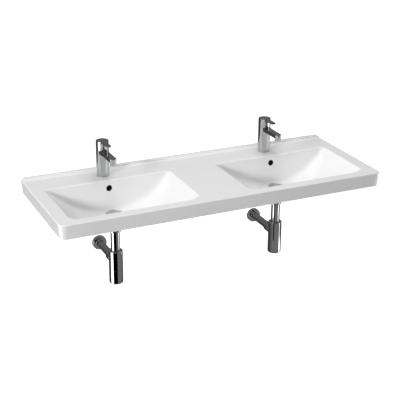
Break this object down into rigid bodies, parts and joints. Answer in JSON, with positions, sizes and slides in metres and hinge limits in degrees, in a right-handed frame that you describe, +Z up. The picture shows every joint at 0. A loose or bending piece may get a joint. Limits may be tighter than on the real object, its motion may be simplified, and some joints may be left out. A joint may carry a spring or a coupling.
{
  "type": "double washbasin",
  "caption": "Wall-hung double washbasin with shallow bowls, single-lever mixers, press-to-open wastes and bottle traps.",
  "frame": {"origin": "on the wall plane, at the middle of the basin's length, level with the rim", "axes": "+X to the right seen from the front, +Y into the wall, +Z up"},
  "size_m": [1.2992, 0.5046, 0.545],
  "materials": {
    "ceramic": "white gloss glaze",
    "chrome": "bright chrome plating",
    "brass": "plain machined brass",
    "steel": "plain stainless steel",
    "seal_rubber": "matt black rubber",
    "plastic": "moulded plastic",
    "disc_ceramic": "lapped ceramic"
  },
  "bodies": {
    "basin": {"washbasin": "ceramic", "left_mixer_body": "chrome", "right_mixer_body": "chrome", "left_dome_cover": "chrome", "right_dome_cover": "chrome", "left_aerator_housing": "chrome", "right_aerator_housing": "chrome", "left_waste_body": "chrome", "right_waste_body": "chrome", "left_plug_spring": "steel", "right_plug_spring": "steel", "left_dip_tube": "chrome", "right_dip_tube": "chrome", "left_trap_body": "chrome", "right_trap_body": "chrome", "left_trap_cup": "chrome", "right_trap_cup": "chrome", "left_outlet_pipe": "chrome", "right_outlet_pipe": "chrome", "left_wall_cover": "chrome", "right_wall_cover": "chrome", "cartridge_housings": "plastic", "cartridge_seals": "seal_rubber", "fixed_discs": "disc_ceramic", "cartridge_nuts": "brass", "aerator_inserts": "plastic", "mixer_base_seals": "seal_rubber", "fixing_studs": "steel", "rubber_horseshoes": "seal_rubber", "steel_horseshoes": "steel", "fixing_nuts": "brass", "flange_seals": "seal_rubber", "cone_seals": "seal_rubber", "back_nuts": "brass", "latch_sleeves": "plastic", "union_nuts": "chrome", "union_seals": "seal_rubber", "gland_nuts": "chrome", "gland_seals": "seal_rubber", "cup_seals": "seal_rubber", "outlet_collars": "chrome", "outlet_seals": "seal_rubber"},
    "left_swivel": {"left_cartridge_carrier": "plastic", "left_hinge_pin": "steel"},
    "left_lever": {"left_lever_stem": "brass", "left_mixer_handle": "chrome", "left_handle_screw": "steel", "left_handle_plug": "chrome"},
    "left_disc": {"left_moving_disc": "disc_ceramic"},
    "left_plug": {"left_waste_plug": "chrome", "left_plug_ring": "seal_rubber"},
    "right_swivel": {"right_cartridge_carrier": "plastic", "right_hinge_pin": "steel"},
    "right_lever": {"right_lever_stem": "brass", "right_mixer_handle": "chrome", "right_handle_screw": "steel", "right_handle_plug": "chrome"},
    "right_disc": {"right_moving_disc": "disc_ceramic"},
    "right_plug": {"right_waste_plug": "chrome", "right_plug_ring": "seal_rubber"}
  },
  "joints": [
    {"name": "left_lever_swivel", "type": "hinge", "parent": "basin", "child": "left_swivel", "pos_m": [-0.348, -0.078, 0.105], "axis": [0, 0, 1], "range_deg": [-45, 45]},
    {"name": "left_lever_lift", "type": "hinge", "parent": "left_swivel", "child": "left_lever", "pos_m": [-0.348, -0.078, 0.105], "axis": [-1, 0, 0], "range_deg": [0, 22]},
    {"name": "left_disc_slide", "type": "slide", "parent": "left_swivel", "child": "left_disc", "axis": [0, -1, 0], "range_m": [0, 0.0036]},
    {"name": "left_plug_lift", "type": "slide", "parent": "basin", "child": "left_plug", "axis": [0, 0, 1], "range_m": [0, 0.008], "deforming": ["left_plug_spring"]},
    {"name": "right_lever_swivel", "type": "hinge", "parent": "basin", "child": "right_swivel", "pos_m": [0.348, -0.078, 0.105], "axis": [0, 0, 1], "range_deg": [-45, 45]},
    {"name": "right_lever_lift", "type": "hinge", "parent": "right_swivel", "child": "right_lever", "pos_m": [0.348, -0.078, 0.105], "axis": [-1, 0, 0], "range_deg": [0, 22]},
    {"name": "right_disc_slide", "type": "slide", "parent": "right_swivel", "child": "right_disc", "axis": [0, -1, 0], "range_m": [0, 0.0036]},
    {"name": "right_plug_lift", "type": "slide", "parent": "basin", "child": "right_plug", "axis": [0, 0, 1], "range_m": [0, 0.008], "deforming": ["right_plug_spring"]}
  ],
  "couplings": [
    {"joint": "left_disc_slide", "follows": "left_lever_lift", "m_per_rad": 0.00926},
    {"joint": "right_disc_slide", "follows": "right_lever_lift", "m_per_rad": 0.00926}
  ]
}
